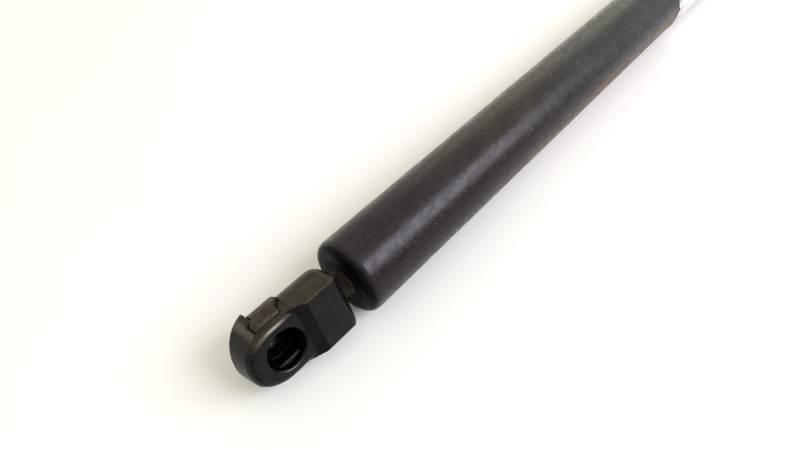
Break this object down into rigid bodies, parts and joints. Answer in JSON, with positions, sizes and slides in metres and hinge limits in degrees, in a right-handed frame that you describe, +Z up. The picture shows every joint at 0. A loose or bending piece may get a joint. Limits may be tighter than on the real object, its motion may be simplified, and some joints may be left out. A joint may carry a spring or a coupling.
{
  "type": "gas strut stay",
  "caption": "Gas strut stay: painted pressure tube, sliding steel rod, and a moulded ball socket with a spring clip at each end.",
  "frame": {"origin": "under the middle of the strut, on the surface it lies on", "axes": "+X runs along the strut from the tube's socket to the rod's socket, +Z is up, and both sockets open 67 degrees from +Z towards -Y"},
  "size_m": [0.5214, 0.0222, 0.022],
  "materials": {
    "tube_paint": "semi-gloss black paint, scuffed and dusty",
    "plug_steel": "rusted bare steel stud, painted plug face",
    "socket_plastic": "black glass-filled nylon, satin",
    "spring_steel": "dark spring steel with specks of rust",
    "label_film": "white film, blank",
    "guide_plastic": "black moulded plastic",
    "liner_bronze": "bronze bush",
    "seal_rubber": "black nitrile rubber",
    "washer_steel": "plain steel",
    "rod_steel": "ground and hard-coated steel",
    "piston_alloy": "machined alloy",
    "ring_ptfe": "filled PTFE",
    "stop_rubber": "firm rubber"
  },
  "bodies": {
    "barrel": {"pressure_tube": "tube_paint", "end_plug": "plug_steel", "end_plug_o_ring": "seal_rubber", "guide_housing": "guide_plastic", "guide_liner": "liner_bronze", "wiper_ring": "seal_rubber", "rod_seal": "seal_rubber", "seal_backing_washer": "washer_steel", "rating_label": "label_film", "tube_fitting_body": "socket_plastic"},
    "tube_clip": {"tube_fitting_clip": "spring_steel"},
    "ring": {"piston_ring": "ring_ptfe"},
    "rod": {"piston_rod": "rod_steel", "extension_stop_ring": "stop_rubber", "piston_support_disc": "washer_steel", "piston_body": "piston_alloy", "piston_labyrinth_disc": "washer_steel", "piston_nut": "washer_steel", "rod_fitting_body": "socket_plastic"},
    "rod_clip": {"rod_fitting_clip": "spring_steel"}
  },
  "joints": [
    {"name": "rod_slide", "type": "slide", "parent": "barrel", "child": "ring", "axis": [1, 0, 0], "range_m": [-0.2, 0], "stiffness_N_per_m": 600, "springref_m": 0.5},
    {"name": "rod_spin", "type": "hinge", "parent": "ring", "child": "rod", "pos_m": [0, 0, 0.011], "axis": [1, 0, 0], "continuous": true},
    {"name": "tube_clip_release", "type": "slide", "parent": "barrel", "child": "tube_clip", "axis": [0, 0.9205, -0.3907], "range_m": [0, 0.003], "stiffness_N_per_m": 2000},
    {"name": "rod_clip_release", "type": "slide", "parent": "rod", "child": "rod_clip", "axis": [0, 0.9205, -0.3907], "range_m": [0, 0.003], "stiffness_N_per_m": 2000}
  ]
}
